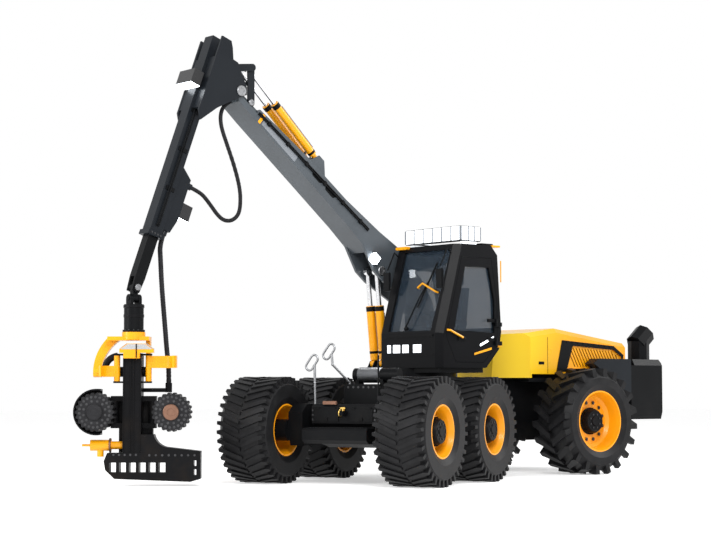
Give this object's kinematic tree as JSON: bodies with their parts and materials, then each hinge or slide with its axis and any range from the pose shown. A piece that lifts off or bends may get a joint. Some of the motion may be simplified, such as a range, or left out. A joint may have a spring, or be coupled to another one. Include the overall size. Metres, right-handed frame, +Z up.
{
  "type": "forestry harvester",
  "caption": "Centre-jointed wheeled forestry harvester with a slewing cab and crane that carries a hanging felling and delimbing head.",
  "frame": {"origin": "on the ground, at the middle of the whole machine's outline with the crane as it stands", "axes": "+X the way the rear frame, cab and crane point, +Y to the left, +Z up"},
  "size_m": [10.2777, 4.5808, 6.3418],
  "materials": {
    "yellow": "satin",
    "black": "satin",
    "slate": "satin",
    "tyre": "matte",
    "rim": "satin",
    "glass": "clear",
    "steel": "polished",
    "iron": "rough",
    "hose": "matte",
    "lamp": "clear",
    "seat": "woven"
  },
  "bodies": {
    "front_frame": {"front_frame": "black", "bogies": "black", "front_box": "black", "front_deck": "black", "front_rails": "black"},
    "rear_frame": {"rear_frame": "black", "rear_axle": "black", "hood": "yellow", "hood_grille": "yellow", "hood_bezel": "black", "engine": "iron", "counterweight": "black", "exhaust": "black", "fenders": "slate"},
    "platform": {"slew_platform": "black", "crane_base": "black", "cab_shell": "black", "cab_glass": "glass", "cab_lamps": "lamp", "cab_seat": "seat"},
    "door": {"cab_door": "black", "door_glass": "glass"},
    "boom": {"main_boom": "slate", "boom_lamp": "lamp", "crane_hose": "hose"},
    "lift_barrels": {"lift_barrels": "yellow"},
    "lift_rods": {"lift_rods": "steel"},
    "stick": {"stick": "slate", "stick_lamps": "lamp", "head_hose": "hose"},
    "stick_barrels": {"stick_barrels": "yellow"},
    "stick_rods": {"stick_rods": "steel"},
    "rocker": {"stick_rocker": "slate"},
    "link": {"stick_link": "slate"},
    "extension": {"extension": "black"},
    "tip_link": {"tip_link": "black"},
    "rotator": {"rotator": "black"},
    "tilt_frame": {"tilt_frame": "yellow"},
    "head": {"head_frame": "black", "head_cover": "yellow", "saw_box": "black", "saw_motor": "yellow"},
    "knife_left": {"knife_left": "yellow"},
    "knife_right": {"knife_right": "yellow"},
    "feed_arm_left": {"feed_arm_left": "black"},
    "feed_arm_right": {"feed_arm_right": "black"},
    "feed_roller_left": {"feed_roller_left": "iron"},
    "feed_roller_right": {"feed_roller_right": "iron"},
    "wheel_front_left": {"tyre_front_left": "tyre", "rim_front_left": "rim"},
    "wheel_front_right": {"tyre_front_right": "tyre", "rim_front_right": "rim"},
    "wheel_middle_left": {"tyre_middle_left": "tyre", "rim_middle_left": "rim"},
    "wheel_middle_right": {"tyre_middle_right": "tyre", "rim_middle_right": "rim"},
    "wheel_rear_left": {"tyre_rear_left": "tyre", "rim_rear_left": "rim"},
    "wheel_rear_right": {"tyre_rear_right": "tyre", "rim_rear_right": "rim"}
  },
  "joints": [
    {"name": "roll_front_left", "type": "hinge", "parent": "front_frame", "child": "wheel_front_left", "pos_m": [1.55017, 1.67218, 0.745], "axis": [-0.3885, 0.9215, 0], "continuous": true},
    {"name": "roll_front_right", "type": "hinge", "parent": "front_frame", "child": "wheel_front_right", "pos_m": [2.48563, -0.54668, 0.745], "axis": [-0.3885, 0.9215, 0], "continuous": true},
    {"name": "roll_middle_left", "type": "hinge", "parent": "front_frame", "child": "wheel_middle_left", "pos_m": [-0.05133, 0.997, 0.745], "axis": [-0.3885, 0.9215, 0], "continuous": true},
    {"name": "roll_middle_right", "type": "hinge", "parent": "front_frame", "child": "wheel_middle_right", "pos_m": [0.88413, -1.22186, 0.745], "axis": [-0.3885, 0.9215, 0], "continuous": true},
    {"name": "roll_rear_left", "type": "hinge", "parent": "rear_frame", "child": "wheel_rear_left", "pos_m": [-2.92885, 0.46661, 0.822], "axis": [0, 1, 0], "continuous": true},
    {"name": "roll_rear_right", "type": "hinge", "parent": "rear_frame", "child": "wheel_rear_right", "pos_m": [-2.92885, -1.93539, 0.822], "axis": [0, 1, 0], "continuous": true},
    {"name": "steer", "type": "hinge", "parent": "front_frame", "child": "rear_frame", "pos_m": [-1.05885, -0.73439, 0.81], "axis": [0, 0, 1], "range_deg": [-21.14, 66.86]},
    {"name": "slew", "type": "hinge", "parent": "front_frame", "child": "platform", "pos_m": [-0.23414, -0.3867, 1.47], "axis": [0, 0, 1], "range_deg": [-87.14, 132.86]},
    {"name": "door_swing", "type": "hinge", "parent": "platform", "child": "door", "pos_m": [-0.87414, 0.6233, 2.1], "axis": [0, 0, -1], "range_deg": [-80, 0]},
    {"name": "boom_lift", "type": "hinge", "parent": "platform", "child": "boom", "pos_m": [-0.82414, -1.0767, 2.58], "axis": [0, -1, 0], "range_deg": [-26, 27]},
    {"name": "lift_barrel_swing", "type": "hinge", "parent": "platform", "child": "lift_barrels", "pos_m": [-0.04414, -1.0767, 1.705], "axis": [0, -1, 0], "range_deg": [-15, 15]},
    {"name": "lift_rod_slide", "type": "slide", "parent": "lift_barrels", "child": "lift_rods", "axis": [0.1011, 0, 0.9949], "range_m": [-0.45, 0.45]},
    {"name": "stick_fold", "type": "hinge", "parent": "boom", "child": "stick", "pos_m": [2.76126, -1.0767, 5.55666], "axis": [0, 1, 0], "range_deg": [-82, 3], "deforming": ["crane_hose"]},
    {"name": "stick_barrel_swing", "type": "hinge", "parent": "boom", "child": "stick_barrels", "pos_m": [1.24076, -1.0767, 4.69073], "axis": [0, 1, 0], "range_deg": [-8, 1]},
    {"name": "stick_rod_slide", "type": "slide", "parent": "stick_barrels", "child": "stick_rods", "axis": [0.7196, 0, 0.6943], "range_m": [-0.65, 0.04]},
    {"name": "rocker_swing", "type": "hinge", "parent": "boom", "child": "rocker", "pos_m": [2.52158, -1.0767, 5.42266], "axis": [0, 1, 0], "range_deg": [-64, 4]},
    {"name": "link_swing", "type": "hinge", "parent": "stick", "child": "link", "pos_m": [2.91126, -1.0767, 5.88166], "axis": [0, 1, 0], "range_deg": [-4, 66]},
    {"name": "extend", "type": "slide", "parent": "stick", "child": "extension", "axis": [-0.3453, 0, 0.9385], "range_m": [-1.8, 0.2], "deforming": ["head_hose"]},
    {"name": "tip_swing", "type": "hinge", "parent": "extension", "child": "tip_link", "pos_m": [4.35614, -1.0767, 2.70177], "axis": [0, -1, 0], "range_deg": [-5, 60], "deforming": ["head_hose"]},
    {"name": "cross_swing", "type": "hinge", "parent": "tip_link", "child": "rotator", "pos_m": [4.35614, -1.0767, 2.55177], "axis": [1, 0, 0], "range_deg": [-35, 35], "deforming": ["head_hose"]},
    {"name": "rotate", "type": "hinge", "parent": "rotator", "child": "tilt_frame", "pos_m": [4.35614, -1.0767, 2.08977], "axis": [0, 0, 1], "continuous": true, "deforming": ["head_hose"]},
    {"name": "head_tilt", "type": "hinge", "parent": "tilt_frame", "child": "head", "pos_m": [4.29267, -1.15397, 1.54977], "axis": [-0.7727, 0.6347, 0], "range_deg": [0, 105], "deforming": ["head_hose"]},
    {"name": "knife_left_close", "type": "hinge", "parent": "head", "child": "knife_left", "pos_m": [4.56036, -1.1668, 1.59477], "axis": [0, 0, 1], "range_deg": [-10, 30]},
    {"name": "feed_arm_left_close", "type": "hinge", "parent": "head", "child": "feed_arm_left", "pos_m": [4.51331, -1.30286, 0.99977], "axis": [0, 0, 1], "range_deg": [-10, 18]},
    {"name": "feed_roller_left_turn", "type": "hinge", "parent": "feed_arm_left", "child": "feed_roller_left", "pos_m": [4.72705, -1.38137, 1.00277], "axis": [-0.6347, -0.7727, 0], "continuous": true},
    {"name": "knife_right_close", "type": "hinge", "parent": "head", "child": "knife_right", "pos_m": [4.22809, -0.89387, 1.59477], "axis": [0, 0, -1], "range_deg": [-10, 30]},
    {"name": "feed_arm_right_close", "type": "hinge", "parent": "head", "child": "feed_arm_right", "pos_m": [4.10376, -0.96645, 0.99977], "axis": [0, 0, -1], "range_deg": [-10, 18]},
    {"name": "feed_roller_right_turn", "type": "hinge", "parent": "feed_arm_right", "child": "feed_roller_right", "pos_m": [3.93114, -0.7276, 1.00277], "axis": [-0.6347, -0.7727, 0], "continuous": true}
  ],
  "couplings": [
    {"joint": "lift_barrel_swing", "follows": "boom_lift", "ratio": 0.43},
    {"joint": "lift_rod_slide", "follows": "boom_lift", "m_per_rad": 0.86},
    {"joint": "rocker_swing", "follows": "stick_fold", "ratio": 0.745},
    {"joint": "link_swing", "follows": "stick_fold", "ratio": -0.765},
    {"joint": "stick_barrel_swing", "follows": "stick_fold", "ratio": 0.085},
    {"joint": "stick_rod_slide", "follows": "stick_fold", "m_per_rad": 0.345}
  ]
}
